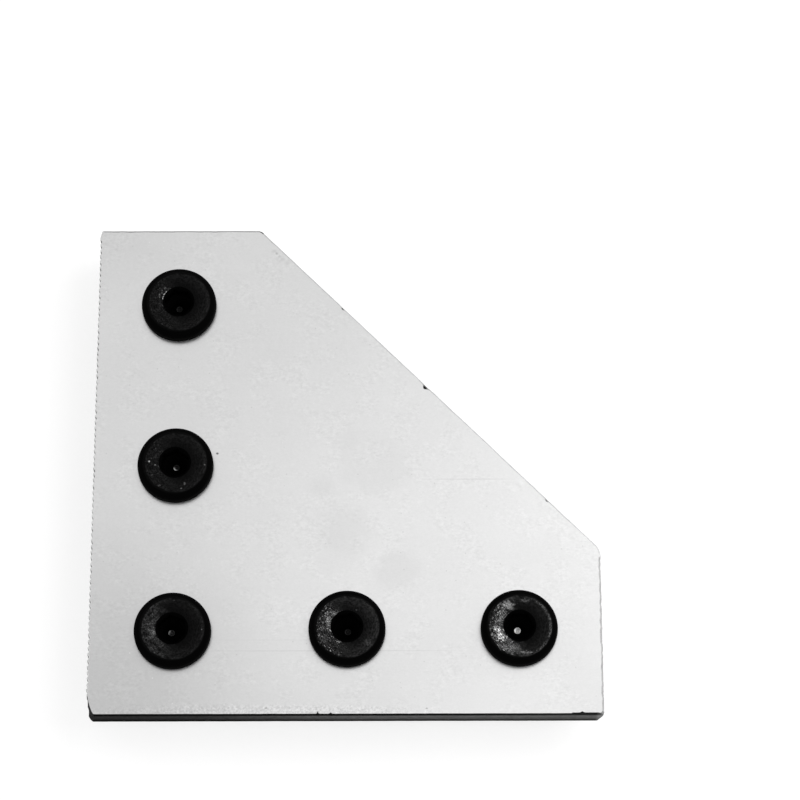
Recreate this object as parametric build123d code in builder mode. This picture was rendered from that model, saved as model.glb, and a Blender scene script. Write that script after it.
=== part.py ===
"""Corner joining plate held by five low-head socket screws, all sizes in millimetres.

The plate is a flat square corner whose far corner is cut off at a slant. The origin is on the
corner hole's axis at the plate's back face. +X runs along the level leg, +Y along the upright
leg, and +Z out of the face that the screw heads sit on.
"""
from build123d import *
from math import atan2, degrees, sqrt
import os

# Plate
hole_pitch = 20.0
side_margin = 9.75
end_margin = 9.75
leg_width = 19.2
plate_thickness = 4.0
edge_break = 0.12

# Corners of the plate, each with its own rounding
heel_radius = 1.1
level_end_radius = 0.3
level_slant_radius = 2.2
upright_slant_radius = 0.9

# The saw entered the outer edge at the upright leg's end a little inside its line
entry_length = 1.0
entry_depth = 0.27

# Hollows that the saw's teeth left along the outer edge, each with a narrower floor
mark_pitch = 0.72
mark_width = 0.64
mark_floor = 0.28
mark_depth = 0.18
mark_margin = 0.4

# Screws, with their thread below the plate and a thinner neck inside it
thread_radius = 2.5
neck_relief = 0.26
bite_length = 4.0
tip_chamfer = 0.5
head_radius = 4.45
head_height = 1.8
head_shoulder = 1.05

# Six-sided socket in each head, with a flared mouth and a drilled point at its bottom
key_width = 3.0
mouth_flare = 0.4
socket_depth = 1.6
drill_inset = 0.1
drill_point_depth = 0.75

# Clearance between a screw's thread and its hole
hole_clearance = 0.25

# Places and sizes that follow from the ones above
hole_radius = thread_radius + hole_clearance
far_hole = 2 * hole_pitch
far_edge = far_hole + end_margin
slant_start = leg_width - side_margin
head_top = plate_thickness + head_height
screw_places = {
    "screw_corner": (0, 0),
    "screw_level_middle": (hole_pitch, 0),
    "screw_level_end": (far_hole, 0),
    "screw_upright_middle": (0, hole_pitch),
    "screw_upright_end": (0, far_hole),
}


def make_screw(name, x, y):
    """Build one screw on the axis at x, y, with its head seated on the plate's face, and write it."""
    screw_axis = Axis((x, y, 0), (0, 0, 1))
    profile_plane = Plane((x, y, 0), x_dir=(1, 0, 0), z_dir=(0, -1, 0))
    neck_radius = thread_radius - neck_relief
    shoulder_inset = head_shoulder * (1 - sqrt(0.5))
    flat_radius = key_width / 2
    drill_radius = flat_radius - drill_inset
    socket_floor = head_top - socket_depth
    with BuildPart() as screw:
        with BuildSketch(profile_plane) as outside:
            with BuildLine():
                Polyline(
                    (0, -bite_length),
                    (thread_radius, -bite_length),
                    (thread_radius, 0),
                    (neck_radius, 0),
                    (neck_radius, plate_thickness),
                    (head_radius, plate_thickness),
                    (head_radius, head_top - head_shoulder),
                    (head_radius - shoulder_inset, head_top - shoulder_inset),
                    (head_radius - head_shoulder, head_top),
                    (0, head_top),
                    close=True,
                )
            make_face()
            tip = outside.vertices().sort_by_distance((thread_radius, -bite_length))[0]
            chamfer(tip, tip_chamfer)
        revolve(axis=screw_axis)

        with BuildSketch(Plane((x, y, head_top))):
            RegularPolygon(flat_radius, side_count=6, major_radius=False)
        extrude(amount=-socket_depth, mode=Mode.SUBTRACT)

        with BuildSketch(profile_plane):
            with BuildLine():
                Polyline(
                    (0, socket_floor - drill_point_depth),
                    (drill_radius, socket_floor),
                    (drill_radius, head_top - mouth_flare),
                    (flat_radius, head_top - mouth_flare),
                    (flat_radius + mouth_flare, head_top),
                    (0, head_top),
                    close=True,
                )
            make_face()
        revolve(axis=screw_axis, mode=Mode.SUBTRACT)
    screw.part.label = name
    export_step(screw.part, f"parts/{name}.step")


os.makedirs("parts", exist_ok=True)

# Plate with its rounded corners, holes and broken edges, and then the saw marks
corner_roundings = [
    (-side_margin, -side_margin, heel_radius),
    (far_edge, -side_margin, level_end_radius),
    (far_edge, slant_start, level_slant_radius),
    (slant_start, far_edge, upright_slant_radius),
]
with BuildPart() as joining_plate:
    with BuildSketch() as outline:
        with BuildLine():
            Polyline(
                (-side_margin, -side_margin),
                (far_edge, -side_margin),
                (far_edge, slant_start),
                (slant_start, far_edge),
                (entry_depth - side_margin, far_edge),
                (-side_margin, far_edge - entry_length),
                close=True,
            )
        make_face()
        for corner_x, corner_y, radius in corner_roundings:
            fillet(outline.vertices().sort_by_distance((corner_x, corner_y))[0], radius)
    extrude(amount=plate_thickness)
    chamfer(joining_plate.faces().filter_by(Axis.Z).edges(), edge_break)
    with Locations(*screw_places.values()):
        Hole(hole_radius)
    mark_low = -side_margin + heel_radius + mark_margin
    mark_high = far_edge - entry_length
    with BuildSketch():
        with Locations((-side_margin, (mark_low + mark_high) / 2)):
            with GridLocations(0, mark_pitch, 1, int((mark_high - mark_low) / mark_pitch)):
                Trapezoid(
                    mark_width,
                    mark_depth,
                    degrees(atan2(mark_depth, (mark_width - mark_floor) / 2)),
                    rotation=-90,
                    align=(Align.CENTER, Align.MIN),
                )
    extrude(amount=plate_thickness, mode=Mode.SUBTRACT)
joining_plate.part.label = "joining_plate"
export_step(joining_plate.part, "parts/joining_plate.step")

# Screws
for screw_name, (screw_x, screw_y) in screw_places.items():
    make_screw(screw_name, screw_x, screw_y)
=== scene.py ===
"""Dressed model of a corner joining plate and the five socket screws that hold it.

Sizes are in millimetres and become metres when a mesh is made. The origin is on the corner
hole's axis at the plate's back face. +X runs along the level leg, +Y along the upright leg and
+Z out of the face that the screw heads sit on.
"""

import logging
from dataclasses import dataclass
from enum import Enum, IntEnum

import bmesh
import bpy
import numpy as np
from mathutils import Matrix, Vector
from mathutils.geometry import tessellate_polygon


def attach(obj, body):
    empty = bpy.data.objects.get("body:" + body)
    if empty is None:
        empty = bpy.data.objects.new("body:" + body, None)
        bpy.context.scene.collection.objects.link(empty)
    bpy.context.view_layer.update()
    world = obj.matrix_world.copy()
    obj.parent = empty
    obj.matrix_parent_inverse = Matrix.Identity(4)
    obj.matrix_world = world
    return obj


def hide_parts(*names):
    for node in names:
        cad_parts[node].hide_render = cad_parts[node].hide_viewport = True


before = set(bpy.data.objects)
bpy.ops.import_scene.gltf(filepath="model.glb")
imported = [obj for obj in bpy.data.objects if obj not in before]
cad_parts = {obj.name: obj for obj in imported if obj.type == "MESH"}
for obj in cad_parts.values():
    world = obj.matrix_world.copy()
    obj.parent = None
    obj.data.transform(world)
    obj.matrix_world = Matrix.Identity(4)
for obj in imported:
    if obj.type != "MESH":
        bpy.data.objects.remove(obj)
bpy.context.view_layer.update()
MILLIMETRE = 0.001
WELD_DISTANCE = 1e-6
ANY_HEIGHT = 1e3
WHITE = (1.0, 1.0, 1.0, 1.0)
Socket = bpy.types.NodeSocket
log = logging.getLogger("joining_plate")


class Side(IntEnum):
    """Sides of the plate's outline, in the order in which the walk round it takes them."""

    BOTTOM = 0
    RIGHT = 1
    SLANT = 2
    TOP = 3
    SAW_ENTRY = 4
    SAWN = 5


class HeadWearAndLight(Enum):
    """How a head is worn and lit: the tones of its disc, of the painted light that hazes its lit side,
    of its flecks, which are bare metal and painted glints, and of the painted highlight on its rim,
    and its flecks' share.
    """

    CLEAN = (0.0045, 0.0090, 0.10, 0.010, 0.30)
    RUBBED = (0.0035, 0.032, 0.13, 0.012, 0.34)
    STREAKED = (0.010, 0.018, 0.45, 0.018, 0.52)
    CHALKY = (0.0060, 0.080, 0.55, 0.085, 0.55)


@dataclass(frozen=True)
class Corner:
    """A corner of the outline: its place before rounding, and the radius of its rounding."""

    x: float
    y: float
    radius: float


@dataclass(frozen=True)
class EdgeFinish:
    """How a side of the plate was left: its edge break, waves and greys, and its points' step. The
    break's grey holds painted light and shade.
    """

    break_width: float
    wave_depth: float
    wave_pitch: float
    break_tone_and_light: float
    wall_tone: float
    step: float


@dataclass(frozen=True)
class Chip:
    """A chip out of a side's upper edge, placed by its distance along the side, and its grey."""

    side: Side
    run: float
    width: float
    depth: float
    height: float
    tone: float


@dataclass(frozen=True)
class Patch:
    """An oval patch of another tone, with half its length and height and how it fades out."""

    x: float
    y: float
    half_x: float
    half_y: float
    tone: float
    strength: float = 1.0
    softness: float = 0.8
    ragged: float = 0.3
    tear: float = 2.5


@dataclass(frozen=True)
class Grain:
    """A grain: its changes in a millimetre along and across, and how far it lightens and darkens."""

    along: float
    across: float
    contrast: float


@dataclass(frozen=True)
class Mottle:
    """A noise and the passage made of it: start where it is below low, and end where above high."""

    scale: float
    detail: float
    roughness: float
    low: float
    high: float
    start: float = 0.0
    end: float = 1.0


@dataclass(frozen=True)
class Dots:
    """Scattered dots: cells in a millimetre, a dot's radius, the share of cells with one, its tone."""

    cells: float
    radius: float
    share: float
    tone: float
    strength: float


@dataclass(frozen=True)
class Walk:
    """Points met on the way round the outline, each with its side and its distance along it."""

    points: np.ndarray
    outward: np.ndarray
    side: np.ndarray
    run: np.ndarray
    left: np.ndarray


def show(name: str, data: bpy.types.ID | None) -> bpy.types.Object:
    """Make an object of its data, put it into the scene and return it."""
    shown = bpy.data.objects.new(name, data)
    bpy.context.scene.collection.objects.link(shown)
    return shown


class MeshMaker:
    """Gathers grids of points into one closed mesh and makes its object."""

    def __init__(self) -> None:
        """Start with no points and no faces."""
        self.points: list[np.ndarray] = []
        self.count = 0
        self.faces: list[np.ndarray] = []
        self.zones: list[np.ndarray] = []
        self.tones: list[np.ndarray] = []

    def grid(self, points: np.ndarray, zones: np.ndarray, tones: np.ndarray) -> np.ndarray:
        """Add a grid whose columns close on themselves, with a quad between neighbours.

        Args:
            points: places as rows, columns and x, y, z.
            zones: the material slot of each band between two rows.
            tones: a grey for each row and column.

        Returns:
            The number of each point of the grid in the mesh, as rows and columns.
        """
        rows, columns = points.shape[:2]
        index = self.count + np.arange(rows * columns).reshape(rows, columns)
        after = np.roll(index, -1, axis=1)
        quads = np.stack([index[:-1], after[:-1], after[1:], index[1:]], axis=-1)
        self.points.append(points.reshape(-1, 3))
        self.tones.append(tones.ravel())
        self.count += rows * columns
        self.faces.append(quads.reshape(-1, 4))
        self.zones.append(np.repeat(zones, columns))
        return index

    def cap(self, rings: list[np.ndarray], zone: int) -> None:
        """Fill the flat face inside the first ring and outside the others with triangles."""
        places = np.concatenate(self.points)
        loops = [[Vector((x, y, 0.0)) for x, y in places[ring, :2]] for ring in rings]
        triangles = np.concatenate(rings)[np.array(tessellate_polygon(loops))]
        self.faces.append(triangles)
        self.zones.append(np.full(len(triangles), zone))

    def pole(self, ring: np.ndarray, place: np.ndarray, zone: int, tone: float) -> None:
        """Close a ring with a fan of triangles that meet at one point."""
        self.points.append(place.reshape(1, 3))
        self.tones.append(np.array([tone]))
        tip = np.full_like(ring, self.count)
        self.count += 1
        self.faces.append(np.stack([ring, np.roll(ring, -1), tip], axis=-1))
        self.zones.append(np.full(len(ring), zone))

    def finish(self, name: str, materials: list[bpy.types.Material], crease: float,
               plain_zone: int = -1) -> bpy.types.Object:
        """Make the object, with outward faces, smooth up to an angle and sharp past it.

        Args:
            name: the object's name.
            materials: one for each zone.
            crease: the angle in degrees past which an edge stays sharp.
            plain_zone: the zone whose faces are all flat, if there is one.

        Returns:
            The object, linked into the scene.
        """
        mesh = bpy.data.meshes.new(name)
        faces = [face for block in self.faces for face in block.tolist()]
        mesh.from_pydata((np.concatenate(self.points) * MILLIMETRE).tolist(), [], faces)
        mesh.polygons.foreach_set("material_index", np.concatenate(self.zones).astype(np.int32))
        tone = mesh.attributes.new("tone", "FLOAT", "POINT")
        tone.data.foreach_set("value", np.concatenate(self.tones).astype(np.float32))
        shell = bmesh.new()
        shell.from_mesh(mesh)
        bmesh.ops.remove_doubles(shell, verts=shell.verts, dist=WELD_DISTANCE)
        bmesh.ops.recalc_face_normals(shell, faces=shell.faces)
        shell.to_mesh(mesh)
        shell.free()
        mesh.set_sharp_from_angle(angle=np.radians(crease))
        zone = np.empty(len(mesh.polygons), dtype=np.int32)
        mesh.polygons.foreach_get("material_index", zone)
        mesh.polygons.foreach_set("use_smooth", zone != plain_zone)
        for material in materials:
            mesh.materials.append(material)
        return show(name, mesh)


class NodeSheet:
    """One node tree, with short ways to add nodes and wire them."""

    def __init__(self, tree: bpy.types.NodeTree) -> None:
        """Take the tree that the nodes go into."""
        self.tree = tree

    def feed(self, socket: Socket, value: object) -> None:
        """Wire a socket to an output, or give it a plain value."""
        if isinstance(value, Socket):
            self.tree.links.new(value, socket)
        else:
            socket.default_value = value

    def add(self, kind: str, inputs: dict, **settings: object) -> bpy.types.Node:
        """Add a node.

        Args:
            kind: the node's type name.
            inputs: a value or an output for each input, by its name or number.
            settings: the node's own properties.

        Returns:
            The node.
        """
        node = self.tree.nodes.new(kind)
        for name, value in settings.items():
            setattr(node, name, value)
        for key, value in inputs.items():
            self.feed(node.inputs[key], value)
        return node

    def math(self, operation: str, *values: object) -> Socket:
        """Return the result of a Math node on the values."""
        return self.add("ShaderNodeMath", dict(enumerate(values)), operation=operation).outputs[0]

    def vector_math(self, operation: str, *values: object) -> Socket:
        """Return the vector result of a Vector Math node on the values."""
        node = self.add("ShaderNodeVectorMath", dict(enumerate(values)), operation=operation)
        return node.outputs["Vector"]

    def vector_number(self, operation: str, *values: object) -> Socket:
        """Return the plain number that a Vector Math node makes of the values."""
        node = self.add("ShaderNodeVectorMath", dict(enumerate(values)), operation=operation)
        return node.outputs["Value"]

    def blend(self, value: object, target: object, share: object) -> Socket:
        """Return the value moved towards the target by a share from 0 to 1."""
        return self.add("ShaderNodeMix", {0: share, 2: value, 3: target}).outputs[0]

    def ramp(self, value: object, low: object, high: object, start: float = 0.0,
             end: float = 1.0) -> Socket:
        """Return start below low, end above high and an S-shaped passage between."""
        inputs = {0: value, 1: low, 2: high, 3: start, 4: end}
        return self.add("ShaderNodeMapRange", inputs, interpolation_type="SMOOTHSTEP").outputs[0]

    def noise(self, vector: object, scale: object, detail: float = 2.0,
              roughness: float = 0.5) -> Socket:
        """Return a noise from 0 to 1 of the given scale."""
        inputs = {"Vector": vector, "Scale": scale, "Detail": detail, "Roughness": roughness}
        return self.add("ShaderNodeTexNoise", inputs).outputs[0]

    def mottle(self, vector: object, kind: Mottle) -> Socket:
        """Return a noise taken through its passage."""
        value = self.noise(vector, kind.scale, kind.detail, kind.roughness)
        return self.ramp(value, kind.low, kind.high, kind.start, kind.end)

    def group(self, tree: bpy.types.NodeTree, **inputs: object) -> Socket:
        """Place a node group, fill its inputs and return its first output."""
        named = {key.replace("_", " "): value for key, value in inputs.items()}
        return self.add("ShaderNodeGroup", named, node_tree=tree).outputs[0]


class EffectGroups:
    """Shader node groups that several finishes share, each built once."""

    def __init__(self) -> None:
        """Build the groups."""
        self.grain = self._grain()
        self.patch = self._patch()
        self.specks = self._specks()

    @staticmethod
    def _start(name: str, inputs: dict[str, str], output: str) -> tuple[NodeSheet, dict]:
        """Make an empty group.

        Args:
            name: the group's name.
            inputs: the socket type of each input, by its name.
            output: the name of its one output, a mask or factor.

        Returns:
            The sheet for its nodes, and its input outputs by name with the output node under "out".
        """
        tree = bpy.data.node_groups.new(name, "ShaderNodeTree")
        for label, kind in inputs.items():
            tree.interface.new_socket(label, in_out="INPUT", socket_type=kind)
        tree.interface.new_socket(output, in_out="OUTPUT", socket_type="NodeSocketFloat")
        given = tree.nodes.new("NodeGroupInput").outputs
        sockets = {label: given[label] for label in inputs}
        sockets["out"] = tree.nodes.new("NodeGroupOutput").inputs[output]
        return NodeSheet(tree), sockets

    def _grain(self) -> bpy.types.NodeTree:
        """Streaks drawn out along X: a factor of 1 plus the contrast times a noise from -2 to 2."""
        kinds = {"Vector": "NodeSocketVector", "Along": "NodeSocketFloat",
                 "Across": "NodeSocketFloat", "Contrast": "NodeSocketFloat"}
        sheet, given = self._start("drawn_grain", kinds, "Factor")
        stretch = sheet.add("ShaderNodeCombineXYZ",
                            {0: given["Along"], 1: given["Across"], 2: given["Across"]}).outputs[0]
        place = sheet.vector_math("MULTIPLY", given["Vector"], stretch)
        streaks = sheet.noise(place, scale=1.0, detail=4.0, roughness=0.6)
        streaks = sheet.math("MULTIPLY_ADD", streaks, 4.0, -2.0)
        factor = sheet.math("MULTIPLY_ADD", streaks, given["Contrast"], 1.0)
        sheet.feed(given["out"], factor)
        return sheet.tree

    def _patch(self) -> bpy.types.NodeTree:
        """An oval mask: 1 at its centre, 0 outside, with an edge as soft and ragged as asked."""
        kinds = {"Vector": "NodeSocketVector", "Centre": "NodeSocketVector",
                 "Half Size": "NodeSocketVector", "Softness": "NodeSocketFloat",
                 "Raggedness": "NodeSocketFloat", "Tear": "NodeSocketFloat",
                 "Strength": "NodeSocketFloat"}
        sheet, given = self._start("oval_patch", kinds, "Mask")
        away = sheet.vector_math("SUBTRACT", given["Vector"], given["Centre"])
        share = sheet.vector_math("DIVIDE", away, given["Half Size"])
        distance = sheet.vector_number("LENGTH", share)
        tear = sheet.noise(given["Vector"], given["Tear"], detail=4.0, roughness=0.7)
        tear = sheet.math("MULTIPLY_ADD", tear, 2.0, -1.0)
        torn = sheet.math("MULTIPLY_ADD", tear, given["Raggedness"], distance)
        inner = sheet.math("SUBTRACT", 1.0, given["Softness"])
        mask = sheet.math("SUBTRACT", 1.0, sheet.ramp(torn, inner, 1.0))
        sheet.feed(given["out"], sheet.math("MULTIPLY", mask, given["Strength"]))
        return sheet.tree

    def _specks(self) -> bpy.types.NodeTree:
        """Round specks, 1 inside and 0 outside: one in each cell that the lot gives one."""
        kinds = {"Vector": "NodeSocketVector", "Cells": "NodeSocketFloat",
                 "Radius": "NodeSocketFloat", "Share": "NodeSocketFloat"}
        sheet, given = self._start("scattered_specks", kinds, "Mask")
        inputs = {"Vector": given["Vector"], "Scale": given["Cells"]}
        cells = sheet.add("ShaderNodeTexVoronoi", inputs)
        lot = sheet.add("ShaderNodeSeparateColor", {0: cells.outputs["Color"]}).outputs[0]
        chosen = sheet.math("LESS_THAN", lot, given["Share"])
        core = sheet.math("MULTIPLY", given["Radius"], 0.6)
        outside = sheet.ramp(cells.outputs["Distance"], core, given["Radius"])
        dot = sheet.math("SUBTRACT", 1.0, outside)
        sheet.feed(given["out"], sheet.math("MULTIPLY", dot, chosen))
        return sheet.tree


class FinishSheet(NodeSheet):
    """A material's nodes round its shader, with ways to lay the shared effects."""

    def __init__(self, material: bpy.types.Material, groups: EffectGroups | None = None) -> None:
        """Take the material that the nodes go into and the effects that it may use."""
        super().__init__(material.node_tree)
        self.material = material
        self.groups = groups
        self.shader = material.node_tree.nodes["Principled BSDF"]

    def dress(self, name: str, value: object) -> None:
        """Wire an input of the shader to an output, or give it a plain value."""
        self.feed(self.shader.inputs[name], value)

    def millimetres(self, centre: tuple[float, float] = (0.0, 0.0)) -> Socket:
        """Return the place on the object in millimetres from an upright axis."""
        place = self.add("ShaderNodeTexCoord", {}).outputs["Object"]
        scaled = self.add("ShaderNodeVectorMath", {0: place, "Scale": 1.0 / MILLIMETRE},
                          operation="SCALE").outputs["Vector"]
        offset = (-centre[0], -centre[1], 0.0)
        return self.add("ShaderNodeMapping", {"Vector": scaled, "Location": offset}).outputs["Vector"]

    def grain(self, vector: Socket, kind: Grain) -> Socket:
        """Return a grain's factor at a place in millimetres."""
        return self.group(self.groups.grain, Vector=vector, Along=kind.along, Across=kind.across,
                          Contrast=kind.contrast)

    def dots(self, vector: Socket, kind: Dots) -> Socket:
        """Return a mask of scattered dots, which is their strength in their middles."""
        mask = self.group(self.groups.specks, Vector=vector, Cells=kind.cells, Radius=kind.radius,
                          Share=kind.share)
        return self.math("MULTIPLY", mask, kind.strength)

    def patch(self, vector: Socket, kind: Patch, level: float = 0.0,
              reach: float = ANY_HEIGHT) -> Socket:
        """Place one patch and return its mask.

        Args:
            vector: the place in millimetres.
            kind: where the patch lies and how it fades out.
            level: the height that it lies at.
            reach: how far above and below it still shows.

        Returns:
            The mask, which is the patch's strength at its middle and 0 outside.
        """
        return self.group(self.groups.patch, Vector=vector, Centre=(kind.x, kind.y, level),
                          Half_Size=(kind.half_x, kind.half_y, reach), Softness=kind.softness,
                          Raggedness=kind.ragged, Tear=kind.tear, Strength=kind.strength)

    def bump(self, height: Socket, depth: float) -> None:
        """Give the shader a bump, with its height in shares of a depth in millimetres."""
        node = self.add("ShaderNodeBump", {"Height": height, "Distance": depth * MILLIMETRE})
        self.dress("Normal", node.outputs["Normal"])


@dataclass(frozen=True)
class Finish:
    """What every finish has: its name, roughness, metal share and gloss, and its way to start."""

    name: str
    roughness: float
    metallic: float
    specular: float

    def start(self, groups: EffectGroups | None = None) -> FinishSheet:
        """Make the material, set its shader's plain values and return the sheet for its nodes."""
        material = bpy.data.materials.new(self.name)
        material.use_nodes = True
        sheet = FinishSheet(material, groups)
        sheet.dress("Metallic", self.metallic)
        sheet.dress("Roughness", self.roughness)
        sheet.dress("Specular IOR Level", self.specular)
        return sheet


@dataclass(frozen=True)
class RolledFace(Finish):
    """Bare rolled aluminium: fine grain, faint clouds and lines, smudges, wide soft patches of painted
    light and shade, specks, a rough margin.

    Of the margin only the mask is used, for the rough grain along the plate's lower edge.
    """

    tone: float = 0.576
    smudges_and_painted_light: tuple[Patch, ...] = ()
    level: float = 4.0
    reach: float = 2.0
    fine: Grain = Grain(4.0, 5.5, 0.028)
    lines: Grain = Grain(0.04, 1.1, 0.006)
    clouds: Grain = Grain(0.16, 0.16, 0.014)
    scuffs: Grain = Grain(2.4, 3.4, 0.095)
    clusters: Mottle = Mottle(0.30, 3.0, 0.6, 0.44, 0.60, 0.25, 1.0)
    dots: tuple[Dots, ...] = (Dots(0.80, 0.08, 0.5, 0.40, 0.5), Dots(0.75, 0.08, 0.5, 0.66, 0.6))
    margin: Patch = Patch(10.0, -9.6, 28.0, 1.3, 1.0, 1.0, 0.6, 0.5, 2.5)
    rough: Grain = Grain(4.2, 4.4, 0.27)
    gloss_band: tuple[float, float] = (0.96, 1.04)
    gloss_spread: float = 0.03
    relief: float = 0.004

    def make(self, groups: EffectGroups) -> bpy.types.Material:
        """Build the material from its groups and return it."""
        sheet = self.start(groups)
        place = sheet.millimetres()
        kinds = (self.fine, self.lines, self.clouds, self.scuffs, self.rough)
        fine, lines, clouds, scuffs, rough = (sheet.grain(place, kind) for kind in kinds)
        tone = self.tone
        # Smudges, and wide soft patches of painted light and shade.
        for face_patch in self.smudges_and_painted_light:
            tone = sheet.blend(tone, face_patch.tone, sheet.patch(place, face_patch, self.level, self.reach))
        texture = sheet.math("MULTIPLY", sheet.math("MULTIPLY", fine, lines), clouds)
        tone = sheet.math("MULTIPLY", tone, texture)
        clusters = sheet.mottle(place, self.clusters)
        tone = sheet.math("MULTIPLY", tone, sheet.blend(1.0, scuffs, clusters))
        for dots in self.dots:
            tone = sheet.blend(tone, dots.tone, sheet.dots(place, dots))
        margin = sheet.patch(place, self.margin, self.level, self.reach)
        tone = sheet.math("MULTIPLY", tone, sheet.blend(1.0, rough, margin))
        sheet.dress("Base Color", tone)
        dull, bright = self.roughness + self.gloss_spread, self.roughness - self.gloss_spread
        sheet.dress("Roughness", sheet.ramp(fine, *self.gloss_band, dull, bright))
        sheet.bump(fine, self.relief)
        return sheet.material


@dataclass(frozen=True)
class CutEdge(Finish):
    """A cut or broken edge, mottled round the tone that each point of its mesh carries, which holds
    painted light and shade besides the edge's own grey.
    """

    mottle: float = 0.25
    cells: float = 2.2
    glance: float = 1.0
    fine_cells: float = 9.0
    fine_share: float = 0.6
    relief: float = 0.02

    def make(self, groups: EffectGroups) -> bpy.types.Material:
        """Build the material from its groups and return it."""
        sheet = self.start(groups)
        sheet.dress("Specular Tint", (self.glance, self.glance, self.glance, 1.0))
        place = sheet.millimetres()
        tone = sheet.add("ShaderNodeAttribute", {}, attribute_name="tone").outputs["Fac"]
        coarse = Grain(self.cells, self.cells, self.mottle)
        fine = Grain(self.fine_cells, self.fine_cells, self.mottle * self.fine_share)
        worn = sheet.math("MULTIPLY", sheet.grain(place, coarse), sheet.grain(place, fine))
        sheet.dress("Base Color", sheet.math("MULTIPLY", tone, worn))
        sheet.bump(worn, self.relief)
        return sheet.material


@dataclass(frozen=True)
class BlackHead(Finish):
    """A screw head's turned top: black, with painted light on its left side as a haze, bare flecks
    that are also painted glints, and marks, with a painted highlight on the rim's right arc and
    painted shade on the rest of the disc.

    A band says where a passage starts and ends, and may go on with its values there.
    """

    wear_and_light: HeadWearAndLight = HeadWearAndLight.CLEAN
    # Marks on the disc, among them patches of painted light and painted highlights.
    marks: tuple[Patch, ...] = ()
    centre: tuple[float, float] = (0.0, 0.0)
    shoulder_tone: float = 0.0006
    rim: float = 3.58
    rim_shift: tuple[float, float] = (0.10, -0.06)
    rim_wander: float = 0.30
    rim_inset: float = 0.24
    rim_passage: float = 0.18
    arc_inside: tuple[float, float] = (-0.36, -0.12)
    arc_outside: tuple[float, float] = (-0.06, 0.08)
    arc_breaks: Mottle = Mottle(5.5, 3.0, 0.7, 0.38, 0.60)
    right_band: tuple[float, float] = (0.05, 1.0)
    ring: float = 2.7
    ring_rise: float = 1.5
    lit_side_angle: float = 3.32
    cloud: tuple[float, float, float] = (1.1, 2.0, 0.5)
    lit_side_wander: float = 0.7
    lit_side_band: tuple[float, float] = (0.15, 1.05)
    lit_haze_band: tuple[float, float] = (0.30, 0.62)
    shade_band: tuple[float, float, float, float] = (1.9, 3.5, 0.25, 1.35)
    plain_grain: Mottle = Mottle(4.0, 3.0, 0.65, 0.36, 0.66, 0.30, 1.9)
    lit_side_grain: Mottle = Mottle(5.5, 4.0, 0.7, 0.42, 0.62, 0.08, 2.3)
    fleck_noise: tuple[float, float, float] = (5.2, 2.5, 0.55)
    fleck_draw: tuple[float, float, float] = (1.0, 1.0, 1.5)
    fleck_limit: float = 0.74
    fleck_gain: float = 0.20
    fleck_passage: float = 0.03
    fleck_metal: float = 0.8
    relief: float = 0.012

    def turned(self, sheet: NodeSheet, place: Socket) -> tuple[Socket, Socket, Socket, Socket]:
        """Work out where a point lies on the turned disc.

        The turned place is the direction from the axis times a ring's radius, with the distance
        from the axis as its height, so a pattern on it runs round the axis and has no seam.

        Args:
            sheet: the material's nodes.
            place: the place in millimetres from the axis.

        Returns:
            The turned place, the distance from the axis, and the cosines of the angles from the middle
            of the side with painted light and from the right.
        """
        level = sheet.vector_math("MULTIPLY", place, (1.0, 1.0, 0.0))
        distance = sheet.vector_number("LENGTH", level)
        toward = sheet.vector_math("NORMALIZE", level)
        rise = sheet.math("MULTIPLY", distance, self.ring_rise)
        height = sheet.add("ShaderNodeCombineXYZ", {2: rise}).outputs[0]
        ring = sheet.vector_math("MULTIPLY_ADD", toward, (self.ring,) * 3, height)
        lit_direction = (float(np.cos(self.lit_side_angle)), float(np.sin(self.lit_side_angle)), 0.0)
        toward_lit_side = sheet.vector_number("DOT_PRODUCT", toward, lit_direction)
        right = sheet.add("ShaderNodeSeparateXYZ", {0: toward}).outputs[0]
        return ring, distance, toward_lit_side, right

    def rim_masks(self, sheet: NodeSheet, place: Socket, ring: Socket,
                  cloud: Socket) -> tuple[Socket, Socket]:
        """Work out where the flat disc ends, and the broken arc of the painted highlight on its edge.

        Both go by the distance from an axis a little off the screw's own. The disc's end wanders with
        the cloud.

        Args:
            sheet: the material's nodes.
            place: the place in millimetres from the axis.
            ring: the turned place.
            cloud: the wide noise on the disc.

        Returns:
            A mask of the disc, and one of the highlight's arc all the way round.
        """
        from_rim = sheet.vector_math("SUBTRACT", place, (*self.rim_shift, 0.0))
        from_rim = sheet.vector_math("MULTIPLY", from_rim, (1.0, 1.0, 0.0))
        outward = sheet.vector_number("LENGTH", from_rim)
        torn_rim = sheet.math("MULTIPLY_ADD", cloud, self.rim_wander, self.rim - self.rim_inset)
        past = sheet.math("ADD", torn_rim, self.rim_passage)
        on_disc = sheet.ramp(outward, torn_rim, past, 1.0, 0.0)
        inside = sheet.ramp(outward, *(self.rim + end for end in self.arc_inside))
        outside = sheet.ramp(outward, *(self.rim + end for end in self.arc_outside), 1.0, 0.0)
        arc = sheet.math("MULTIPLY", inside, outside)
        return on_disc, sheet.math("MULTIPLY", arc, sheet.mottle(ring, self.arc_breaks))

    def flecks(self, sheet: NodeSheet, ring: Socket, side: Socket, on_disc: Socket,
               share: float) -> Socket:
        """Work out the bare flecks on the rubbed side.

        A fleck is where a noise drawn out round the axis passes a limit, and a greater share
        lowers that limit.

        Args:
            sheet: the material's nodes.
            ring: the turned place.
            side: how far a point is on the side with painted light.
            on_disc: the mask of the disc.
            share: the wear's share of flecks.

        Returns:
            A mask of the flecks.
        """
        limit = sheet.math("MULTIPLY_ADD", side, -self.fleck_gain * share, self.fleck_limit)
        drawn = sheet.vector_math("MULTIPLY", ring, self.fleck_draw)
        past = sheet.math("ADD", limit, self.fleck_passage)
        flecks = sheet.ramp(sheet.noise(drawn, *self.fleck_noise), limit, past)
        return sheet.math("MULTIPLY", flecks, sheet.math("MULTIPLY", side, on_disc))

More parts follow.
